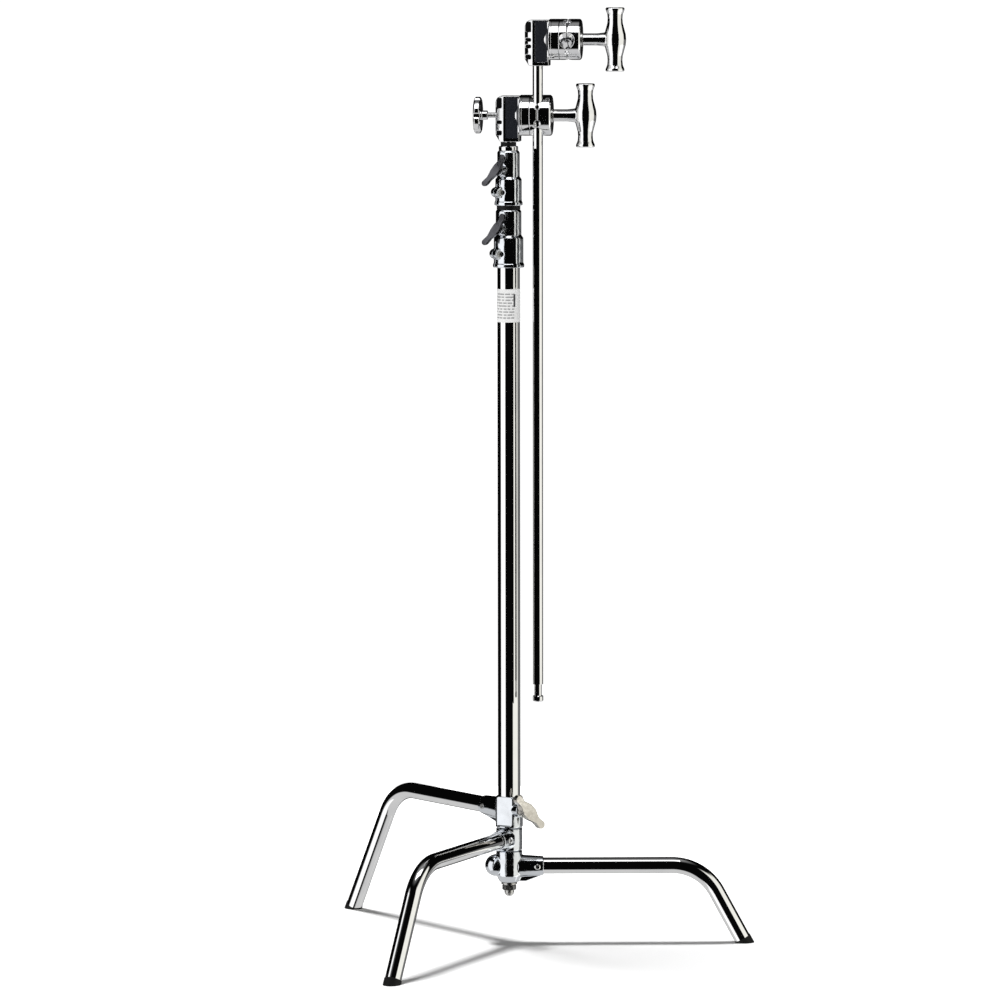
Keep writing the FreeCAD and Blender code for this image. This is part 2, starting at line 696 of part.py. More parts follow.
def inner_jaw():
    face = PARTING - JAW_GAP / 2
    body = jaw(FRICTION_FACE + SEAM, face, 0.8, 0.8)
    body = body.cut(along_x(SPRING_POCKET_R, face - SPRING_POCKET, face + 1))
    return body.cut(dowels(DOWEL_R, face - 7, face + 1))


def outer_jaw():
    face = PARTING + JAW_GAP / 2
    body = jaw(face, JAW_END, 0.8, 2.2)
    body = body.cut(along_x(SPRING_POCKET_R, face - 1, face + SPRING_POCKET))
    return body.cut(dowels(DOWEL_R + RUN, face - 1, face + 12))


def cupped_washer(x, towards_end):
    near, far = (0, SPRING_CUP) if towards_end else (SPRING_CUP, 0)
    inner = BOLT_R + SPRING_BORE
    profile = [
        (inner, x + near),
        (SPRING_R, x + far),
        (SPRING_R, x + far + SPRING_T),
        (inner, x + near + SPRING_T),
    ]
    return turned(profile, V(1, 0, 0))


def jaw_spring():
    pitch = SPRING_CUP + SPRING_T + SPRING_STEP
    start = PARTING - 2 * pitch
    return Part.makeCompound([cupped_washer(start + i * pitch, i % 2 == 0) for i in range(4)])


def t_handle():
    start = JAW_END + WASHER + 0.1
    shaft = turned(
        [
            (0, start),
            (HANDLE_SHAFT_R, start),
            (HANDLE_SHAFT_R, JAW_END + 24.0),
            (HANDLE_ROOT_R, HANDLE_AT - 6),
            (0, HANDLE_AT - 6),
        ],
        V(1, 0, 0),
    )
    half = [
        (HANDLE_BELLY_R, 0),
        (HANDLE_BELLY_R - 0.7, 8),
        (HANDLE_BELLY_R - 2.9, 16),
        (HANDLE_WAIST_R + 0.5, 25),
        (HANDLE_WAIST_R, 32),
        (HANDLE_WAIST_R + 0.6, 39),
        (HANDLE_END_R, HANDLE_HALF - 3.5),
        (HANDLE_END_R, HANDLE_HALF - 1.2),
        (HANDLE_END_R - 1.2, HANDLE_HALF),
    ]
    outline = [(0, -HANDLE_HALF)] + [(r, -z) for r, z in reversed(half[1:])] + half + [(0, HANDLE_HALF)]
    bar = placed(turned(outline), V(HANDLE_AT, 0, 0), FreeCAD.Rotation())
    return shaft.fuse(bar).cut(along_x(BOLT_R + RUN, start - 1, BOLT_END + 2))


def grip_pieces(with_knob):
    washer = along_x(WASHER_R, JAW_END, JAW_END + WASHER)
    washer = washer.cut(along_x(BOLT_R + RUN, JAW_END - 1, JAW_END + 5))
    bolt = along_x(BOLT_R, BOLT_START, BOLT_END)
    friction = along_x(DISC_R, FLANGE_FACE, FRICTION_FACE)
    friction = friction.cut(along_x(BOLT_R, FLANGE_FACE - 1, FRICTION_FACE + 1))
    face = PARTING - JAW_GAP / 2
    return {
        "receiver": receiver(with_knob),
        "plate": plate(),
        "centre_bolt": bolt,
        "friction_disc": friction,
        "inner_jaw": inner_jaw(),
        "jaw_dowels": dowels(DOWEL_R, face - 7, face + 11),
        "jaw_spring": jaw_spring(),
        "outer_jaw": outer_jaw(),
        "thrust_washer": washer,
        "t_handle": t_handle(),
    }


def knob():
    tip = STUD_R + SHOE_GAP + 3.0
    hub = BODY_LEFT + 12.3
    head = turned(
        [
            (0, tip),
            (KNOB_SCREW_R, tip),
            (KNOB_SCREW_R, hub),
            (7.3, hub),
            (7.3, hub + 8.5),
            (KNOB_R - 3, hub + 9.5),
            (KNOB_R, hub + 11.5),
            (KNOB_R, hub + KNOB_T + 7.3),
            (KNOB_R - 3, hub + KNOB_T + 9.5),
            (0, hub + KNOB_T + 9.5),
        ],
        V(-1, 0, 0),
    )
    flutes = []
    for i in range(6):
        angle = math.radians(60 * i)
        at = V(-hub, (KNOB_R + 4) * math.cos(angle), (KNOB_R + 4) * math.sin(angle))
        flutes.append(rod(6.5, at, V(-1, 0, 0), 30))
    return head.cut(flutes)


def knob_pad():
    return rod(KNOB_SCREW_R - THREAD_RUN, V(-STUD_R - SHOE_GAP, 0, 0), V(-1, 0, 0), 3.0)


def arm_axis():
    turn = FreeCAD.Rotation(UP, HEAD_TURN)
    return turn.multVec(V(PARTING, ARM_ACROSS, 0))


def arm_stud():
    plug = 25.0
    button = ARM_BOTTOM_Z - ARM_NECK
    return turned(
        [
            (0, button - ARM_BUTTON),
            (ARM_BUTTON_R - 1.5, button - ARM_BUTTON),
            (ARM_BUTTON_R, button - ARM_BUTTON + 1.5),
            (ARM_BUTTON_R, button - 1),
            (ARM_BUTTON_R - 1, button),
            (ARM_NECK_R, button),
            (ARM_NECK_R, ARM_BOTTOM_Z),
            (ARM_BORE_R, ARM_BOTTOM_Z),
            (ARM_BORE_R, ARM_BOTTOM_Z + plug),
            (0, ARM_BOTTOM_Z + plug),
        ]
    )


def arm_tube(fix_pin):
    tube = ring(STUD_R, ARM_BORE_R, ARM_BOTTOM_Z, ARM_LENGTH)
    return placed(tube, arm_axis(), FreeCAD.Rotation()).cut(fix_pin)


def export_heads():
    turn = FreeCAD.Rotation(UP, HEAD_TURN)
    lower = V(0, 0, HEAD_Z)
    upper = arm_axis() + V(0, 0, UPPER_HEAD_Z)
    for name, shape in grip_pieces(True).items():
        save("lower_" + name, placed(shape, lower, turn))
    jaw_turn = turn.multiply(FreeCAD.Rotation(V(1, 0, 0), UPPER_JAW_TURN))
    for name, shape in grip_pieces(False).items():
        turns_freely = name in ("inner_jaw", "jaw_dowels", "jaw_spring", "outer_jaw")
        save("upper_" + name, placed(shape, upper, jaw_turn if turns_freely else turn))
    save("stud_knob", placed(knob(), lower, turn))
    save("stud_knob_pad", placed(knob_pad(), lower, turn))
    front = V(0, PLATE_T - BODY_HALF, FIX_PIN_UP)
    pin = placed(rod(FIX_PIN_R, front, V(0, 1, 0), 2 * BODY_HALF - PLATE_T), upper, turn)
    save("arm_fixing_pin", pin)
    save("arm_tube", arm_tube(pin))
    save("arm_end_stud", placed(arm_stud(), arm_axis(), FreeCAD.Rotation()))


export_base()
export_locks()
export_collars()
export_column()
export_heads()
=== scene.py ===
import json
import math

import bmesh
import bpy
from mathutils import Matrix, Vector


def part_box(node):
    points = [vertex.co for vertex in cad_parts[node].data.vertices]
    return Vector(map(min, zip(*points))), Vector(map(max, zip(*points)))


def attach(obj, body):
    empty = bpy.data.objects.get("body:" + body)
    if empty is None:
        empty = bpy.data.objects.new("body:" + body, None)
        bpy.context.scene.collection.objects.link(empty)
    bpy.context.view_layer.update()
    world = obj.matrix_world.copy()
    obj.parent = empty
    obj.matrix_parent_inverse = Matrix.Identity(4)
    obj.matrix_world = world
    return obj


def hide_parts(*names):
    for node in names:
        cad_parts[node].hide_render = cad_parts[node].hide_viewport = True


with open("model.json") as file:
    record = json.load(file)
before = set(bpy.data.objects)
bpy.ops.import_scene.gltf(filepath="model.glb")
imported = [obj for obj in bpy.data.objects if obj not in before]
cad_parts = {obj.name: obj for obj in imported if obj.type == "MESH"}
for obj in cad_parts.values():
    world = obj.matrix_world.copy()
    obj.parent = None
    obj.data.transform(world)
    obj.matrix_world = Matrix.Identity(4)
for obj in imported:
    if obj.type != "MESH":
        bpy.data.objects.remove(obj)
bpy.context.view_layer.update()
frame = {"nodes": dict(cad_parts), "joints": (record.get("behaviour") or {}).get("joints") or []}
node = frame["nodes"]

# ---------------------------------------------------------------- base castings
# Three chromed castings stacked on one spindle, each with a socket that takes the end of a leg.
# The plating keeps the slightly soft corners and faint ripple of the casting under it.

CAST_BLUE = (0.80, 0.83, 0.87, 1)
CAST_GREY = (0.66, 0.68, 0.71, 1)
LARGE_CELL = 0.0008  # grain of the eased skin over the large castings
SMALL_CELL = 0.0006  # and over the small ones


def socket_in(group, name, kind, value):
    made = group.interface.new_socket(name=name, in_out="INPUT", socket_type=kind)
    made.default_value = value
    return made


def add_node(tree, kind, **inputs):
    made = tree.nodes.new(kind)
    for name, value in inputs.items():
        made.inputs[name.replace("_", " ")].default_value = value
    return made


def join(tree, start, end):
    tree.links.new(start, end)


def handled_group():
    """Fingermarks, faint wiping lines and a cloudy tone for anything plated and handled."""
    group = bpy.data.node_groups.new("Handled plate", "ShaderNodeTree")
    group.interface.new_socket(name="Vector", in_out="INPUT", socket_type="NodeSocketVector")
    socket_in(group, "Patch Scale", "NodeSocketFloat", 22.0)
    socket_in(group, "Low", "NodeSocketFloat", 0.03)
    socket_in(group, "High", "NodeSocketFloat", 0.16)
    group.interface.new_socket(name="Roughness", in_out="OUTPUT", socket_type="NodeSocketFloat")
    group.interface.new_socket(name="Cloud", in_out="OUTPUT", socket_type="NodeSocketFloat")
    entry = group.nodes.new("NodeGroupInput")
    leave = group.nodes.new("NodeGroupOutput")
    patches = add_node(group, "ShaderNodeTexNoise", Detail=4.0, Roughness=0.6)
    join(group, entry.outputs["Vector"], patches.inputs["Vector"])
    join(group, entry.outputs["Patch Scale"], patches.inputs["Scale"])
    wipes = add_node(group, "ShaderNodeTexNoise", Scale=900.0, Detail=2.0, Roughness=0.5)
    stretch = group.nodes.new("ShaderNodeMapping")
    stretch.inputs["Scale"].default_value = (1.0, 1.0, 0.05)
    join(group, entry.outputs["Vector"], stretch.inputs["Vector"])
    join(group, stretch.outputs["Vector"], wipes.inputs["Vector"])
    edge = add_node(group, "ShaderNodeMapRange", From_Min=0.46, From_Max=0.74, To_Min=0.0, To_Max=1.0)
    join(group, patches.outputs["Fac"], edge.inputs["Value"])
    fine = group.nodes.new("ShaderNodeMath")
    fine.operation = "MULTIPLY_ADD"
    fine.inputs[1].default_value = 0.35
    join(group, wipes.outputs["Fac"], fine.inputs[0])
    join(group, edge.outputs["Result"], fine.inputs[2])
    spread = add_node(group, "ShaderNodeMapRange", From_Min=0.05, From_Max=1.25)
    join(group, fine.outputs["Value"], spread.inputs["Value"])
    join(group, entry.outputs["Low"], spread.inputs["To Min"])
    join(group, entry.outputs["High"], spread.inputs["To Max"])
    join(group, spread.outputs["Result"], leave.inputs["Roughness"])
    join(group, edge.outputs["Result"], leave.inputs["Cloud"])
    return group


def cast_group():
    """The ripple and pinholes of a casting's skin, as a height."""
    group = bpy.data.node_groups.new("Cast skin", "ShaderNodeTree")
    group.interface.new_socket(name="Vector", in_out="INPUT", socket_type="NodeSocketVector")
    socket_in(group, "Ripple Scale", "NodeSocketFloat", 90.0)
    socket_in(group, "Pit Scale", "NodeSocketFloat", 700.0)
    group.interface.new_socket(name="Height", in_out="OUTPUT", socket_type="NodeSocketFloat")
    entry = group.nodes.new("NodeGroupInput")
    leave = group.nodes.new("NodeGroupOutput")
    ripple = add_node(group, "ShaderNodeTexNoise", Detail=1.0, Roughness=0.4)
    join(group, entry.outputs["Vector"], ripple.inputs["Vector"])
    join(group, entry.outputs["Ripple Scale"], ripple.inputs["Scale"])
    pits = add_node(group, "ShaderNodeTexNoise", Detail=3.0, Roughness=0.7)
    join(group, entry.outputs["Vector"], pits.inputs["Vector"])
    join(group, entry.outputs["Pit Scale"], pits.inputs["Scale"])
    both = group.nodes.new("ShaderNodeMath")
    both.operation = "MULTIPLY_ADD"
    both.inputs[1].default_value = 0.12
    join(group, pits.outputs["Fac"], both.inputs[0])
    join(group, ripple.outputs["Fac"], both.inputs[2])
    join(group, both.outputs["Value"], leave.inputs["Height"])
    return group


HANDLED = handled_group()
CAST_SKIN = cast_group()


def metal(name, bright, cloudy, low, high, patch=22.0, ripple=0.0, ripple_scale=90.0, pits=700.0):
    made = bpy.data.materials.new(name)
    made.use_nodes = True
    tree = made.node_tree
    shader = tree.nodes["Principled BSDF"]
    shader.inputs["Metallic"].default_value = 1.0
    where = tree.nodes.new("ShaderNodeTexCoord").outputs["Object"]
    wear = tree.nodes.new("ShaderNodeGroup")
    wear.node_tree = HANDLED
    wear.inputs["Patch Scale"].default_value = patch
    wear.inputs["Low"].default_value = low
    wear.inputs["High"].default_value = high
    join(tree, where, wear.inputs["Vector"])
    tone = tree.nodes.new("ShaderNodeMix")
    tone.data_type = "RGBA"
    tone.inputs["A"].default_value = bright
    tone.inputs["B"].default_value = cloudy
    join(tree, wear.outputs["Cloud"], tone.inputs["Factor"])
    join(tree, tone.outputs["Result"], shader.inputs["Base Color"])
    join(tree, wear.outputs["Roughness"], shader.inputs["Roughness"])
    if ripple:
        skin = tree.nodes.new("ShaderNodeGroup")
        skin.node_tree = CAST_SKIN
        skin.inputs["Ripple Scale"].default_value = ripple_scale
        skin.inputs["Pit Scale"].default_value = pits
        join(tree, where, skin.inputs["Vector"])
        bump = add_node(tree, "ShaderNodeBump", Strength=1.0, Distance=ripple)
        join(tree, skin.outputs["Height"], bump.inputs["Height"])
        join(tree, bump.outputs["Normal"], shader.inputs["Normal"])
    return made


def piece_from(name, mesh, material, body, slot, *stands_for):
    made = bpy.data.objects.new(name, mesh)
    bpy.context.scene.collection.objects.link(made)
    made.data.materials.clear()
    made.data.materials.append(material)
    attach(made, body)
    if stands_for:
        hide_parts(*stands_for)
    return made


def softened(meshes, cell, passes):
    """One closed skin over the given meshes, with every corner eased as a casting's is."""
    whole = bmesh.new()
    for mesh in meshes:
        whole.from_mesh(mesh)
    bmesh.ops.remove_doubles(whole, verts=whole.verts, dist=1e-6)
    rough = bpy.data.meshes.new("rough")
    whole.to_mesh(rough)
    whole.free()
    holder = bpy.data.objects.new("rough", rough)
    bpy.context.scene.collection.objects.link(holder)
    skin = holder.modifiers.new("Skin", "REMESH")
    skin.mode = "VOXEL"
    skin.voxel_size = cell
    skin.use_smooth_shade = True
    ease = holder.modifiers.new("Ease", "SMOOTH")
    ease.factor = 0.5
    ease.iterations = passes
    eased = bpy.data.meshes.new_from_object(holder.evaluated_get(bpy.context.evaluated_depsgraph_get()))
    bpy.data.objects.remove(holder)
    bpy.data.meshes.remove(rough)
    return eased


def coat(material, *names):
    for name in names:
        node[name].material_slots[0].material = material


def cast_from(name, source, cell, passes, material, body, slot):
    return piece_from(name, softened([node[source].data], cell, passes), material, body, slot, source)


cast_chrome = metal(
    "Cast chrome", CAST_BLUE, CAST_GREY, 0.06, 0.22, patch=26.0, ripple=0.0004, ripple_scale=110.0, pits=800.0
)
LEG_BODIES = (("top", "base"), ("middle", "middle_leg_unit"), ("bottom", "bottom_leg_unit"))
for place, body in LEG_BODIES:
    title = place.capitalize() + "_leg_casting"
    source = "base_" + place + "_casting"
    cast_from(title, source, LARGE_CELL, 6, cast_chrome, body, "chrome_casting")

# ---------------------------------------------------------------- spindle, washers and nuts
# The castings turn on a plain steel spindle, held by zinc plated washers, a hexagon nut
# and a tapered acorn nut at the bottom.

ZINC_BRIGHT = (0.62, 0.62, 0.61, 1)
ZINC_DULL = (0.42, 0.41, 0.39, 1)
zinc = metal(
    "Zinc plated steel",
    ZINC_BRIGHT,
    ZINC_DULL,
    0.22,
    0.45,
    patch=60.0,
    ripple=0.0001,
    ripple_scale=400.0,
    pits=2500.0,
)
coat(zinc, "base_spindle", "base_washers", "base_nuts")

# ---------------------------------------------------------------- legs
# One inch steel tube, bent once and chromed, fixed in each socket by a domed rivet.

CHROME_BRIGHT = (0.93, 0.93, 0.93, 1)
CHROME_DULL = (0.84, 0.84, 0.85, 1)
chrome = metal("Polished chrome", CHROME_BRIGHT, CHROME_DULL, 0.015, 0.09, patch=14.0)
coat(chrome, "top_leg", "middle_leg", "bottom_leg")
coat(zinc, "top_leg_rivet", "middle_leg_rivet", "bottom_leg_rivet")

# ---------------------------------------------------------------- leg boots
# Black moulded rubber caps, pushed over the open ends and cut flat to stand on the floor.

BLACK = (0.003, 0.003, 0.003, 1)
RUBBER_BLOOM = (0.011, 0.011, 0.010, 1)


def dull_black(name, dark, pale, scale, detail, low, high, specular, uneven=0.5):
    """A black finish whose tone and roughness follow one fine mottle."""
    made = bpy.data.materials.new(name)
    made.use_nodes = True
    tree = made.node_tree
    shader = tree.nodes["Principled BSDF"]
    shader.inputs["Specular IOR Level"].default_value = specular
    where = tree.nodes.new("ShaderNodeTexCoord").outputs["Object"]
    mottle = add_node(tree, "ShaderNodeTexNoise", Scale=scale, Detail=detail, Roughness=uneven)
    join(tree, where, mottle.inputs["Vector"])
    tone = tree.nodes.new("ShaderNodeMix")
    tone.data_type = "RGBA"
    tone.inputs["A"].default_value = dark
    tone.inputs["B"].default_value = pale
    join(tree, mottle.outputs["Fac"], tone.inputs["Factor"])
    join(tree, tone.outputs["Result"], shader.inputs["Base Color"])
    gloss = add_node(tree, "ShaderNodeMapRange", To_Min=low, To_Max=high)
    join(tree, mottle.outputs["Fac"], gloss.inputs["Value"])
    join(tree, gloss.outputs["Result"], shader.inputs["Roughness"])
    return made


rubber = dull_black("Black rubber", BLACK, RUBBER_BLOOM, 120.0, 5.0, 0.45, 0.72, 0.25, uneven=0.7)
tree = rubber.node_tree
where = tree.nodes.new("ShaderNodeTexCoord").outputs["Object"]
grain = add_node(tree, "ShaderNodeTexNoise", Scale=1800.0, Detail=2.0)
join(tree, where, grain.inputs["Vector"])
relief = add_node(tree, "ShaderNodeBump", Strength=0.5, Distance=0.0001)
join(tree, grain.outputs["Fac"], relief.inputs["Height"])
join(tree, relief.outputs["Normal"], tree.nodes["Principled BSDF"].inputs["Normal"])
for place, body in LEG_BODIES:
    cast_from(place.capitalize() + "_boot", place + "_leg_boot", SMALL_CELL, 4, rubber, body, "rubber")

# ---------------------------------------------------------------- base lock
# A cast wing handle screws a brass shoe through the top casting against the column's pin.

BRASS_BRIGHT = (0.80, 0.62, 0.32, 1)
BRASS_DULL = (0.60, 0.44, 0.20, 1)
NICKEL_BRIGHT = (0.66, 0.63, 0.58, 1)
NICKEL_DULL = (0.46, 0.43, 0.39, 1)
brass = metal(
    "Turned brass",
    BRASS_BRIGHT,
    BRASS_DULL,
    0.16,
    0.35,
    patch=80.0,
    ripple=0.0001,
    ripple_scale=900.0,
    pits=2500.0,
)
nickel = metal(
    "Dull nickel",
    NICKEL_BRIGHT,
    NICKEL_DULL,
    0.12,
    0.3,
    patch=40.0,
    ripple=0.0006,
    ripple_scale=160.0,
    pits=1500.0,
)
coat(brass, "base_lock_shoe")
cast_from("Base_wing_handle", "base_lock_handle", SMALL_CELL, 6, nickel, "base_handle", "grey_casting")

# ---------------------------------------------------------------- column
# The column is a chromed steel tube with a solid pin plugged into its foot, and carries a
# plain white wrap label with grey rules.

coat(chrome, "column_tube", "column_pin")

label = bpy.data.materials.new("Printed wrap label")
label.use_nodes = True
tree = label.node_tree
shader = tree.nodes["Principled BSDF"]
where = tree.nodes.new("ShaderNodeTexCoord").outputs["Object"]
low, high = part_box("column_label")
split = tree.nodes.new("ShaderNodeSeparateXYZ")
join(tree, where, split.inputs["Vector"])


def reckon(tree, operation, *values):
    made = tree.nodes.new("ShaderNodeMath")
    made.operation = operation
    for slot, value in enumerate(values):
        if isinstance(value, (int, float)):
            made.inputs[slot].default_value = value
        else:
            join(tree, value, made.inputs[slot])
    return made.outputs["Value"]


def between(tree, value, start, end, soft):
    rise = add_node(tree, "ShaderNodeMapRange", From_Min=start - soft, From_Max=start + soft)
    fall = add_node(tree, "ShaderNodeMapRange", From_Min=end + soft, From_Max=end - soft)
    for edge in (rise, fall):
        edge.interpolation_type = "SMOOTHSTEP"
        join(tree, value, edge.inputs["Value"])
    return reckon(tree, "MULTIPLY", rise.outputs["Result"], fall.outputs["Result"])


RULE_PITCH = 0.0046
LOW_MARGIN = 0.0055
HIGH_MARGIN = 0.0045
PRINT_FROM = -2.95  # angles round the tube, from the right-hand side
PRINT_TO = -1.05
BLOCK_FROM = -1.14
BLOCK_TO = -0.95
BLOCK_LOW = 0.024
BLOCK_HIGH = 0.044
INK = (0.03, 0.03, 0.035, 1)
PAPER = (0.93, 0.93, 0.92, 1)
PAPER_GREY = (0.84, 0.84, 0.84, 1)
round_tube = reckon(tree, "ARCTAN2", split.outputs["Y"], split.outputs["X"])
up_label = reckon(tree, "SUBTRACT", split.outputs["Z"], low.z)
rows = reckon(tree, "FRACT", reckon(tree, "DIVIDE", up_label, RULE_PITCH))
rules = between(tree, rows, 0.3, 0.75, 0.08)
margin = between(tree, up_label, LOW_MARGIN, high.z - low.z - HIGH_MARGIN, 0.0003)
printed = between(tree, round_tube, PRINT_FROM, PRINT_TO, 0.02)
words = add_node(tree, "ShaderNodeTexNoise", Scale=1.0, Detail=0.0)
spread_words = tree.nodes.new("ShaderNodeCombineXYZ")
join(tree, reckon(tree, "MULTIPLY", round_tube, 5.5), spread_words.inputs["X"])
join(tree, reckon(tree, "FLOOR", reckon(tree, "DIVIDE", up_label, RULE_PITCH)), spread_words.inputs["Y"])
join(tree, spread_words.outputs["Vector"], words.inputs["Vector"])
word_gaps = between(tree, words.outputs["Fac"], 0.42, 2.0, 0.02)
block_wide = between(tree, round_tube, BLOCK_FROM, BLOCK_TO, 0.015)
block_high = between(tree, up_label, BLOCK_LOW, BLOCK_HIGH, 0.0003)
block = reckon(tree, "MULTIPLY", block_wide, block_high)
printed_rules = reckon(tree, "MULTIPLY", rules, word_gaps)
printed_area = reckon(tree, "MULTIPLY", margin, printed)
ink = reckon(tree, "MULTIPLY", printed_rules, printed_area)
ink = reckon(tree, "MAXIMUM", reckon(tree, "MULTIPLY", ink, 0.62), reckon(tree, "MULTIPLY", block, 0.98))
blotch = add_node(tree, "ShaderNodeTexNoise", Scale=240.0, Detail=3.0)
join(tree, where, blotch.inputs["Vector"])
paper = tree.nodes.new("ShaderNodeMix")
paper.data_type = "RGBA"
paper.inputs["A"].default_value = PAPER
paper.inputs["B"].default_value = PAPER_GREY
join(tree, blotch.outputs["Fac"], paper.inputs["Factor"])
inked = tree.nodes.new("ShaderNodeMix")
inked.data_type = "RGBA"
inked.inputs["B"].default_value = INK
join(tree, ink, inked.inputs["Factor"])
join(tree, paper.outputs["Result"], inked.inputs["A"])
join(tree, inked.outputs["Result"], shader.inputs["Base Color"])
film = add_node(tree, "ShaderNodeMapRange", To_Min=0.28, To_Max=0.45)
join(tree, blotch.outputs["Fac"], film.inputs["Value"])
join(tree, film.outputs["Result"], shader.inputs["Roughness"])
coat(label, "column_label")

# ---------------------------------------------------------------- riser collars
# Chromed castings pinched on the column and on the first riser by a bolt through their split
# ears, each with a wing handle that presses a brass shoe on the riser inside; the handles' plating is painted
# dark as shade.

# Painted shade: the collar handles take a dark copy of the handle plating, for the shade they show edge-on.
SHADED_HANDLE_BRIGHT = (0.11, 0.11, 0.12, 1)
SHADED_HANDLE_DULL = (0.05, 0.05, 0.055, 1)
shaded_handle_plate = metal(
    "Handle plate with painted shade",
    SHADED_HANDLE_BRIGHT,
    SHADED_HANDLE_DULL,
    0.1,
    0.26,
    patch=40.0,
    ripple=0.0006,
    ripple_scale=160.0,
    pits=1500.0,
)
for place, body in (("lower", "column"), ("upper", "lower_riser")):
    title = place.capitalize()
    collar = place + "_collar"
    handle = place + "_lock_handle"
    cast_from(title + "_collar_casting", collar, LARGE_CELL, 5, cast_chrome, body, "chrome_casting")
    cast_from(title + "_wing_handle", handle, SMALL_CELL, 6, shaded_handle_plate, place + "_handle", "grey_casting")
    coat(zinc, place + "_pinch_bolt")
    coat(brass, place + "_lock_shoe")

# ---------------------------------------------------------------- risers
# Two chromed tubes slide in each other on black nylon bushes; a black stop ring closes the
# lower collar, and the top riser ends in a flanged stud on a nylon washer.

NYLON_PALE = (0.010, 0.010, 0.011, 1)
nylon = dull_black("Black nylon", BLACK, NYLON_PALE, 150.0, 4.0, 0.42, 0.62, 0.22)
coat(chrome, "lower_riser_tube", "upper_riser_tube", "top_stud")
coat(nylon, "lower_stop_ring", "lower_riser_bush", "upper_riser_bush", "stud_washer")

# ---------------------------------------------------------------- grip heads
# Each head is a chromed receiver with a fixed friction disc, two grooved jaws on one centre
# bolt and a cast T handle that screws down on them.

PLATE_DARK = (0.003, 0.004, 0.008, 1)
PLATE_PALE = (0.016, 0.019, 0.030, 1)
# Flat black for the painted shade in the receivers' recesses, and for the cloth of the black flag.
SHADE_BLACK = (0.002, 0.002, 0.002, 1)
MACHINED_BRIGHT = (0.90, 0.90, 0.91, 1)
MACHINED_DULL = (0.78, 0.79, 0.81, 1)
plate = dull_black("Black plate", PLATE_DARK, PLATE_PALE, 500.0, 4.0, 0.3, 0.5, 0.5)
# Painted shade: the deep faces of the receivers' recesses take this flat black.
recess_shade = dull_black("Painted recess shade", SHADE_BLACK, NYLON_PALE, 600.0, 3.0, 0.6, 0.85, 0.1)
machined = metal(
    "Machined chrome",
    MACHINED_BRIGHT,
    MACHINED_DULL,
    0.035,
    0.14,
    patch=30.0,
    ripple=0.00012,
    ripple_scale=90.0,
    pits=900.0,
)
joint = {one["name"]: one for one in frame["joints"]}
RECESSES = ((0.0115, 0.0270), (-0.0130, -0.0080), (-0.0300, -0.0235))
UPPER_RECESS = (-0.0030, 0.0020)
NOSE_R = 0.0170
NOSE_AT = -0.0030
RECESS_SKIN = 0.0009  # least depth under the nose that counts as inside a recess
RECESS_BACK = -0.0195
RECESS_FRONT = -0.0084
RECESS_SIDE = -0.0044
RECESS_EDGE = 0.0005


def paint_recess_shade(piece, centre, forward, recesses):
    """Faces inside the cast recesses of a receiver's rounded end get painted shade, a flat black."""
    piece.data.materials.append(recess_shade)
    side = Vector((0, 0, 1)).cross(forward)
    for face in piece.data.polygons:
        at = face.center - centre
        x, y, z = at.dot(forward), at.dot(side), at.z
        deep = math.hypot(x - NOSE_AT, y) <= NOSE_R - RECESS_SKIN
        if not (deep and RECESS_BACK < x < RECESS_FRONT and y < RECESS_SIDE):
            continue
        if any(start - RECESS_EDGE < z < end + RECESS_EDGE for start, end in recesses):
            face.material_index = 1


for place, body, pivot in (("lower", "lower_head", "arm_swing"), ("upper", "arm", "upper_jaw_swivel")):
    title = place.capitalize()
    receiver = cast_from(
        title + "_receiver_casting", place + "_receiver", LARGE_CELL, 4, machined, body, "chrome_casting"
    )
    paint_recess_shade(
        receiver,
        Vector(joint[pivot]["pos_m"]),
        Vector(joint[pivot]["axis"]),
        RECESSES if place == "lower" else RECESSES + (UPPER_RECESS,),
    )
    coat(plate, place + "_plate")
    coat(machined, place + "_friction_disc")
    coat(zinc, *(place + part for part in ("_centre_bolt", "_jaw_dowels", "_jaw_spring", "_thrust_washer")))
    for piece, source, passes, rider in (
        ("_inner_jaw_disc", "_inner_jaw", 3, "_jaw"),
        ("_outer_jaw_disc", "_outer_jaw", 3, "_outer"),
        ("_tee_handle", "_t_handle", 8, "_t"),
    ):
        cast_from(
            title + piece, place + source, SMALL_CELL, passes, machined, place + rider, "chrome_casting"
        )
coat(zinc, "arm_fixing_pin")
coat(brass, "stud_knob_pad")
cast_from("Stud_lock_knob", "stud_knob", SMALL_CELL, 5, machined, "knob", "chrome_casting")

THREAD_PITCH = 0.00125
THREAD_ROOT = 0.0037
THREAD_CREST = 0.0042
THREAD_FROM = 0.0195
THREAD_TURNS = 11
STEPS_A_TURN = 28
knob_at = Vector(joint["arm_swing"]["pos_m"])
outward = -Vector(joint["arm_swing"]["axis"])
screw = bmesh.new()
chain = [
    screw.verts.new(knob_at + outward * (THREAD_FROM + along) + Vector((0, 0, radius)))
    for along, radius in ((0, THREAD_ROOT), (THREAD_PITCH / 2, THREAD_CREST), (THREAD_PITCH, THREAD_ROOT))
]
edges = [screw.edges.new(pair) for pair in zip(chain, chain[1:])]
bmesh.ops.spin(
    screw,
    geom=chain + edges,
    cent=knob_at,
    axis=outward,
    dvec=outward * (THREAD_PITCH / STEPS_A_TURN),
    angle=2 * math.pi * THREAD_TURNS,
    steps=STEPS_A_TURN * THREAD_TURNS,
)
bmesh.ops.remove_doubles(screw, verts=screw.verts, dist=2e-6)
bmesh.ops.holes_fill(screw, edges=screw.edges, sides=0)
bmesh.ops.recalc_face_normals(screw, faces=screw.faces)
thread = bpy.data.meshes.new("Knob screw thread")
screw.to_mesh(thread)
screw.free()
piece_from("Knob_screw_thread", thread, zinc, "knob", "steel")

# ---------------------------------------------------------------- arm
# A 40 inch length of 5/8 inch chromed tube with a turned button pressed into its lower end.

coat(chrome, "arm_tube", "arm_end_stud")
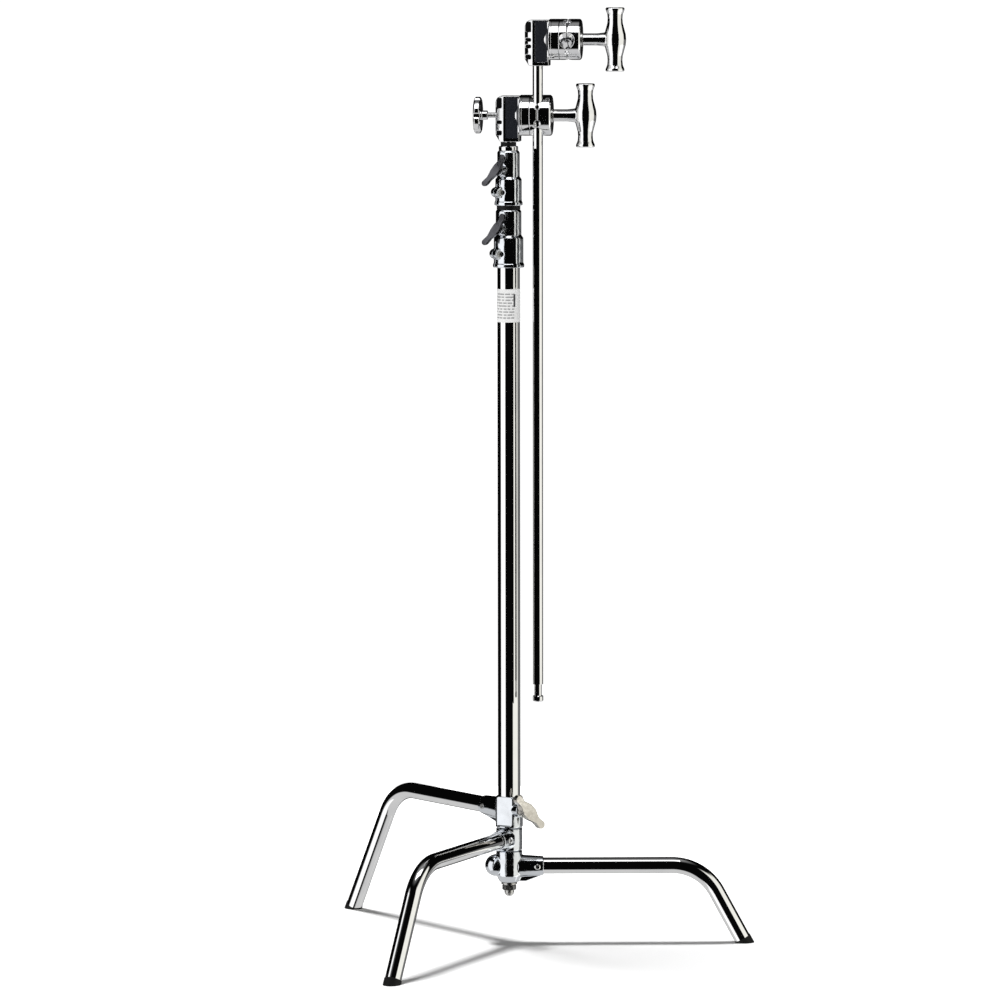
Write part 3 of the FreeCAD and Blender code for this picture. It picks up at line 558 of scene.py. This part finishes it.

# ---------------------------------------------------------------- floor and studio
# A white floor under one soft overhead light, with painted light: a glow that grows away from the
# stand; tall white panels at the sides whose long reflections draw the chrome, and a narrow black flag that
# darkens one side of the arm.

FLOOR_R = 1.6
PAINTED_GLOW_FROM = 0.42  # painted light: the floor's glow begins here and is full at PAINTED_GLOW_TO
PAINTED_GLOW_TO = 1.0
disc = bmesh.new()
bmesh.ops.create_circle(disc, cap_ends=True, segments=96, radius=FLOOR_R)
floor_mesh = bpy.data.meshes.new("Floor")
disc.to_mesh(floor_mesh)
disc.free()
floor = bpy.data.objects.new("Floor", floor_mesh)
bpy.context.scene.collection.objects.link(floor)
floor_paint = bpy.data.materials.new("Floor with painted glow")
floor_paint.use_nodes = True
tree = floor_paint.node_tree
shader = tree.nodes["Principled BSDF"]
shader.inputs["Roughness"].default_value = 0.9
shader.inputs["Specular IOR Level"].default_value = 0.0
shader.inputs["Base Color"].default_value = (0.9, 0.9, 0.9, 1)
shader.inputs["Emission Strength"].default_value = 0.7
where = tree.nodes.new("ShaderNodeTexCoord").outputs["Object"]
radius = tree.nodes.new("ShaderNodeVectorMath")
radius.operation = "LENGTH"
join(tree, where, radius.inputs[0])
# Painted light: the floor glows more the farther it lies from the stand.
painted_glow = add_node(tree, "ShaderNodeMapRange", From_Min=PAINTED_GLOW_FROM, From_Max=PAINTED_GLOW_TO)
painted_glow.interpolation_type = "SMOOTHSTEP"
join(tree, radius.outputs["Value"], painted_glow.inputs["Value"])
join(tree, painted_glow.outputs["Result"], shader.inputs["Emission Color"])
floor.data.materials.append(floor_paint)
floor.visible_glossy = False


def panel(name, place, aim, wide, high, watts, colour, diffuse, glossy):
    data = bpy.data.lights.new(name, "AREA")
    data.shape = "RECTANGLE"
    data.size = wide
    data.size_y = high
    data.energy = watts
    data.color = colour
    made = bpy.data.objects.new(name, data)
    made.location = place
    made.rotation_euler = (Vector(aim) - Vector(place)).to_track_quat("-Z", "Y").to_euler()
    made.visible_camera = False
    made.visible_diffuse = diffuse
    made.visible_glossy = glossy
    bpy.context.scene.collection.objects.link(made)
    return made


panel("Overhead", (-0.2, 0.15, 3.4), (0.0, 0.0, 0.0), 0.5, 0.6, 142.0, (1, 1, 1), True, False)
panel("Front_top", (0.0, -0.55, 2.3), (0.0, -0.1, 1.35), 1.5, 0.7, 6.0, (1, 1, 1), False, True)

FLAG_WIDE = 0.034
FLAG_LOW = 0.38
FLAG_HIGH = 1.245
FLAG_TURN = math.radians(-60)
FLAG_FROM_ARM = Vector((-0.0235, -0.0135, 0.0))
arm_low, arm_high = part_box("arm_tube")
beside = Vector(((arm_low.x + arm_high.x) / 2, (arm_low.y + arm_high.y) / 2, 0.0)) + FLAG_FROM_ARM
card = bmesh.new()
bmesh.ops.create_grid(card, x_segments=1, y_segments=1, size=0.5)
bmesh.ops.scale(card, vec=(FLAG_WIDE, FLAG_HIGH - FLAG_LOW, 1.0), verts=card.verts)
bmesh.ops.rotate(card, matrix=Matrix.Rotation(math.pi / 2, 3, "X"), verts=card.verts)
bmesh.ops.rotate(card, matrix=Matrix.Rotation(FLAG_TURN, 3, "Z"), verts=card.verts)
bmesh.ops.translate(card, vec=beside + Vector((0, 0, (FLAG_LOW + FLAG_HIGH) / 2)), verts=card.verts)
flag_mesh = bpy.data.meshes.new("Black flag")
card.to_mesh(flag_mesh)
card.free()
flag = bpy.data.objects.new("Black_flag", flag_mesh)
bpy.context.scene.collection.objects.link(flag)
flag_cloth = bpy.data.materials.new("Flag cloth")
flag_cloth.use_nodes = True
shader = flag_cloth.node_tree.nodes["Principled BSDF"]
shader.inputs["Base Color"].default_value = SHADE_BLACK
shader.inputs["Specular IOR Level"].default_value = 0.0
flag.data.materials.append(flag_cloth)
flag.visible_camera = False
flag.visible_diffuse = False
flag.visible_shadow = False

world = bpy.data.worlds.new("Studio")
bpy.context.scene.world = world
world.use_nodes = True
world.cycles.sampling_method = "NONE"
tree = world.node_tree
tree.nodes.clear()
final = tree.nodes.new("ShaderNodeOutputWorld")
glow = tree.nodes.new("ShaderNodeBackground")
join(tree, glow.outputs["Background"], final.inputs["Surface"])
direction = tree.nodes.new("ShaderNodeTexCoord").outputs["Generated"]
axes = tree.nodes.new("ShaderNodeSeparateXYZ")
join(tree, direction, axes.inputs["Vector"])


def maths(operation, first, second=None, third=None):
    made = tree.nodes.new("ShaderNodeMath")
    made.operation = operation
    for slot, value in enumerate((first, second, third)):
        if value is None:
            continue
        if isinstance(value, (int, float)):
            made.inputs[slot].default_value = value
        else:
            join(tree, value, made.inputs[slot])
    return made.outputs["Value"]


def step(value, start, end):
    made = add_node(tree, "ShaderNodeMapRange", From_Min=start, From_Max=end)
    made.interpolation_type = "SMOOTHSTEP"
    join(tree, value, made.inputs["Value"])
    return made.outputs["Result"]


towards = maths("MULTIPLY", axes.outputs["Y"], -1.0)
around = maths("MULTIPLY", maths("ARCTAN2", axes.outputs["X"], towards), 180 / math.pi)
rise = maths("MULTIPLY", maths("ARCSINE", axes.outputs["Z"]), 180 / math.pi)


def band(value, low, high, soft):
    return maths("MULTIPLY", step(value, low - soft, low + soft), step(value, high + soft, high - soft))


# Angles in degrees: around from the front, positive to the right, and rise from level.
LEFT_PANEL = (-89, -37)
RIGHT_PANEL = (40, 101)
PANEL_RISE = (-48, 38)
LEFT_LEVEL = 1.15
RIGHT_LEVEL = 0.95
BACK_LEVEL = 0.16
OVERHEAD_LEVEL = 0.25
FLOOR_LEVEL = 0.62
DARK_LEVEL = 0.002
left_panel = maths("MULTIPLY", band(around, *LEFT_PANEL, 2.0), band(rise, *PANEL_RISE, 5.0))
right_panel = maths("MULTIPLY", band(around, *RIGHT_PANEL, 2.0), band(rise, *PANEL_RISE, 5.0))
right_back = maths("MULTIPLY", step(around, 99, 104), band(rise, -60, -1, 2.5))
front = band(around, -60, 60, 25.0)
floor_edge = maths("MULTIPLY_ADD", front, -40.0, -14.0)
below = step(maths("SUBTRACT", floor_edge, rise), -3.0, 5.0)
overhead = step(rise, 55, 80)

level = maths("MULTIPLY_ADD", left_panel, LEFT_LEVEL, DARK_LEVEL)
level = maths("MULTIPLY_ADD", right_back, BACK_LEVEL, level)
level = maths("MULTIPLY_ADD", overhead, OVERHEAD_LEVEL, level)
level = maths("MAXIMUM", level, maths("MULTIPLY", below, FLOOR_LEVEL))
behind = maths("MULTIPLY_ADD", axes.outputs["Y"], 0.9947, maths("MULTIPLY", axes.outputs["Z"], -0.103))
not_behind = step(behind, 0.91, 0.80)
level = maths("MULTIPLY", level, maths("MULTIPLY_ADD", not_behind, 0.88, 0.12))
grey = tree.nodes.new("ShaderNodeCombineColor")
for channel, warm in (("Red", 1.0), ("Green", 0.99), ("Blue", 0.92)):
    join(tree, maths("MULTIPLY_ADD", right_panel, RIGHT_LEVEL * warm, level), grey.inputs[channel])
paths = tree.nodes.new("ShaderNodeLightPath")
not_seen = tree.nodes.new("ShaderNodeMix")
not_seen.data_type = "RGBA"
ambient = add_node(tree, "ShaderNodeMapRange", From_Min=0.0, From_Max=35.0, To_Min=1.3, To_Max=0.06)
join(tree, rise, ambient.inputs["Value"])
join(tree, ambient.outputs["Result"], not_seen.inputs["B"])
join(tree, paths.outputs["Is Diffuse Ray"], not_seen.inputs["Factor"])
join(tree, grey.outputs["Color"], not_seen.inputs["A"])
seen = tree.nodes.new("ShaderNodeMix")
seen.data_type = "RGBA"
seen.inputs["B"].default_value = (1.05, 1.05, 1.05, 1)
join(tree, paths.outputs["Is Camera Ray"], seen.inputs["Factor"])
join(tree, not_seen.outputs["Result"], seen.inputs["A"])
join(tree, seen.outputs["Result"], glow.inputs["Color"])

# ---------------------------------------------------------------- camera
# A long lens a little above the stand's head, looking slightly down.

YAW = math.radians(-0.093)
PITCH = math.radians(5.866)
ROLL = math.radians(-0.074)
ahead = Vector((math.sin(YAW) * math.cos(PITCH), math.cos(YAW) * math.cos(PITCH), -math.sin(PITCH)))
right = Vector((math.cos(YAW), -math.sin(YAW), 0))
up = right.cross(ahead)
across = right * math.cos(ROLL) + up * math.sin(ROLL)
upright = up * math.cos(ROLL) - right * math.sin(ROLL)
CAMERA_AT = (0.0, -8.5, 1.572)
LENS = 197.7
lens = bpy.data.cameras.new("Camera")
lens.lens = LENS
lens.sensor_width = 36.0
lens.clip_start = 0.1
lens.clip_end = 100.0
camera = bpy.data.objects.new("Camera", lens)
turned = Matrix((across, upright, -ahead)).transposed().to_4x4()
camera.matrix_world = Matrix.Translation(CAMERA_AT) @ turned
bpy.context.scene.collection.objects.link(camera)
bpy.context.scene.camera = camera
bpy.context.scene.view_settings.view_transform = "Standard"
